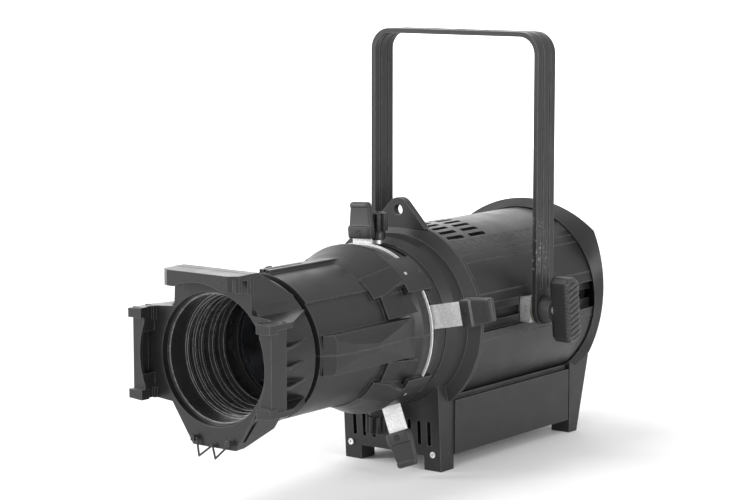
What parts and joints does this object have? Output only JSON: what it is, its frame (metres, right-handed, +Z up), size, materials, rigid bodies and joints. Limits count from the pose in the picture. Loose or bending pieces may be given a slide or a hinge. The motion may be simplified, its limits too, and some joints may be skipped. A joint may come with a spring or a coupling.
{
  "type": "profile spotlight",
  "caption": "Stage profile spotlight with a tilting yoke, rotating barrel, framing shutters, sliding focus tube and colour frame holder.",
  "frame": {"origin": "on the floor under the middle of the object's overall box, feet standing on z = 0", "axes": "+Z up, -Y the way the light leaves along the lens axis, +X to the right of someone who faces the front of the light and looks back along its axis; the lens axis is 165 mm above the floor"},
  "size_m": [0.3392, 0.63, 0.484],
  "materials": {
    "cast_black": "textured satin paint",
    "extrusion_black": "black anodised",
    "sheet_black": "textured satin paint",
    "plastic_black": "matte moulded",
    "stainless": "brushed",
    "steel_parts": "plated",
    "bare_aluminium": "satin",
    "lens_glass": "polished",
    "emitter_yellow": "phosphor",
    "board_white": "satin",
    "display_dark": "gloss",
    "friction_fibre": "matte",
    "grip_rubber": "matte"
  },
  "bodies": {
    "housing": {"front_casting": "cast_black", "neck_ring": "cast_black", "body_tube": "extrusion_black", "lower_tray": "sheet_black", "rear_casting": "cast_black", "safety_lug": "cast_black", "housing_screws": "steel_parts", "reflector": "bare_aluminium", "condenser_lens": "lens_glass", "led_emitter": "emitter_yellow", "led_board": "board_white", "heat_sink": "bare_aluminium", "driver_unit": "sheet_black", "fan_frame": "plastic_black", "fan_guard": "sheet_black", "control_panel": "sheet_black", "display_window": "display_dark", "power_sockets": "plastic_black", "data_sockets": "plastic_black"},
    "fan": {"fan_rotor": "plastic_black"},
    "button_1": {"button_1": "plastic_black"},
    "button_2": {"button_2": "plastic_black"},
    "button_3": {"button_3": "plastic_black"},
    "button_4": {"button_4": "plastic_black"},
    "carriage": {"slide_block_right": "bare_aluminium", "slide_block_left": "bare_aluminium", "friction_disc_right": "friction_fibre", "friction_disc_left": "friction_fibre", "pivot_bolt_right": "steel_parts", "pivot_bolt_left": "steel_parts"},
    "yoke": {"yoke_strap": "sheet_black"},
    "lever_right": {"clamp_lever_right": "grip_rubber"},
    "lever_left": {"clamp_lever_left": "grip_rubber"},
    "barrel": {"barrel_upper": "cast_black", "barrel_lower": "cast_black", "barrel_ring": "cast_black", "retaining_ring": "steel_parts", "gate_plate_front": "stainless", "gate_plate_rear": "sheet_black", "barrel_screws": "steel_parts"},
    "lock_knob_top": {"lock_knob_top": "plastic_black"},
    "lock_knob_bottom": {"lock_knob_bottom": "plastic_black"},
    "shoe_top": {"shutter_shoe_top": "stainless"},
    "shutter_top": {"shutter_blade_top": "stainless", "shutter_handle_top": "plastic_black"},
    "shoe_bottom": {"shutter_shoe_bottom": "stainless"},
    "shutter_bottom": {"shutter_blade_bottom": "stainless", "shutter_handle_bottom": "plastic_black"},
    "shoe_right": {"shutter_shoe_right": "stainless"},
    "shutter_right": {"shutter_blade_right": "stainless", "shutter_handle_right": "plastic_black"},
    "shoe_left": {"shutter_shoe_left": "stainless"},
    "shutter_left": {"shutter_blade_left": "stainless", "shutter_handle_left": "plastic_black"},
    "lens_group": {"lens_tube": "cast_black", "objective_lens": "lens_glass", "lens_ring": "cast_black", "frame_holder": "plastic_black"},
    "focus_knob": {"focus_knob": "plastic_black"},
    "frame_clip": {"frame_clip": "steel_parts"}
  },
  "joints": [
    {"name": "fan_spin", "type": "hinge", "parent": "housing", "child": "fan", "pos_m": [0, 0.2795, 0.197], "axis": [0, 1, 0], "continuous": true},
    {"name": "button_1_press", "type": "slide", "parent": "housing", "child": "button_1", "axis": [0, -1, 0], "range_m": [0, 0.0015], "stiffness_N_per_m": 600, "springref_m": -0.0005},
    {"name": "button_2_press", "type": "slide", "parent": "housing", "child": "button_2", "axis": [0, -1, 0], "range_m": [0, 0.0015], "stiffness_N_per_m": 600, "springref_m": -0.0005},
    {"name": "button_3_press", "type": "slide", "parent": "housing", "child": "button_3", "axis": [0, -1, 0], "range_m": [0, 0.0015], "stiffness_N_per_m": 600, "springref_m": -0.0005},
    {"name": "button_4_press", "type": "slide", "parent": "housing", "child": "button_4", "axis": [0, -1, 0], "range_m": [0, 0.0015], "stiffness_N_per_m": 600, "springref_m": -0.0005},
    {"name": "carriage_slide", "type": "slide", "parent": "housing", "child": "carriage", "axis": [0, 1, 0], "range_m": [-0.03, 0.08]},
    {"name": "yoke_tilt", "type": "hinge", "parent": "carriage", "child": "yoke", "pos_m": [0, 0.1425, 0.172], "axis": [1, 0, 0], "range_deg": [-110, 35]},
    {"name": "lever_right_turn", "type": "hinge", "parent": "carriage", "child": "lever_right", "pos_m": [0.135, 0.1425, 0.172], "axis": [1, 0, 0], "range_deg": [-120, 120]},
    {"name": "lever_left_turn", "type": "hinge", "parent": "carriage", "child": "lever_left", "pos_m": [-0.135, 0.1425, 0.172], "axis": [-1, 0, 0], "range_deg": [-120, 120]},
    {"name": "barrel_rotate", "type": "hinge", "parent": "housing", "child": "barrel", "pos_m": [0, -0.0275, 0.165], "axis": [0, -1, 0], "range_deg": [-25, 25]},
    {"name": "lock_knob_top_turn", "type": "hinge", "parent": "barrel", "child": "lock_knob_top", "pos_m": [0, -0.0175, 0.265], "axis": [0, 0, 1], "continuous": true},
    {"name": "lock_knob_bottom_turn", "type": "hinge", "parent": "barrel", "child": "lock_knob_bottom", "pos_m": [0, -0.0175, 0.065], "axis": [0, 0, -1], "continuous": true},
    {"name": "shutter_top_swing", "type": "hinge", "parent": "barrel", "child": "shoe_top", "pos_m": [0, -0.0375, 0.165], "axis": [0, -1, 0], "range_deg": [-25, 19]},
    {"name": "shutter_top_slide", "type": "slide", "parent": "shoe_top", "child": "shutter_top", "axis": [-0.0523, 0, 0.9986], "range_m": [-0.0015, 0.043]},
    {"name": "shutter_bottom_swing", "type": "hinge", "parent": "barrel", "child": "shoe_bottom", "pos_m": [0, -0.0375, 0.165], "axis": [0, -1, 0], "range_deg": [-43, 1]},
    {"name": "shutter_bottom_slide", "type": "slide", "parent": "shoe_bottom", "child": "shutter_bottom", "axis": [0.3584, 0, -0.9336], "range_m": [-0.0255, 0.019]},
    {"name": "shutter_right_swing", "type": "hinge", "parent": "barrel", "child": "shoe_right", "pos_m": [0, -0.0375, 0.165], "axis": [0, -1, 0], "range_deg": [-33.6, 10.4]},
    {"name": "shutter_right_slide", "type": "slide", "parent": "shoe_right", "child": "shutter_right", "axis": [0.9796, 0, 0.2011], "range_m": [-0.0355, 0.009]},
    {"name": "shutter_left_swing", "type": "hinge", "parent": "barrel", "child": "shoe_left", "pos_m": [0, -0.0375, 0.165], "axis": [0, -1, 0], "range_deg": [-33.6, 10.4]},
    {"name": "shutter_left_slide", "type": "slide", "parent": "shoe_left", "child": "shutter_left", "axis": [-0.9796, 0, -0.2011], "range_m": [-0.0355, 0.009]},
    {"name": "focus_slide", "type": "slide", "parent": "barrel", "child": "lens_group", "axis": [0, -1, 0], "range_m": [-0.008, 0.055]},
    {"name": "focus_knob_turn", "type": "hinge", "parent": "lens_group", "child": "focus_knob", "pos_m": [-0.06511, -0.1215, 0.21964], "axis": [-0.766, 0, 0.6428], "continuous": true},
    {"name": "clip_swing", "type": "hinge", "parent": "lens_group", "child": "frame_clip", "pos_m": [-0.002, -0.2955, 0.082], "axis": [1, 0, 0], "range_deg": [-100, 0]}
  ]
}
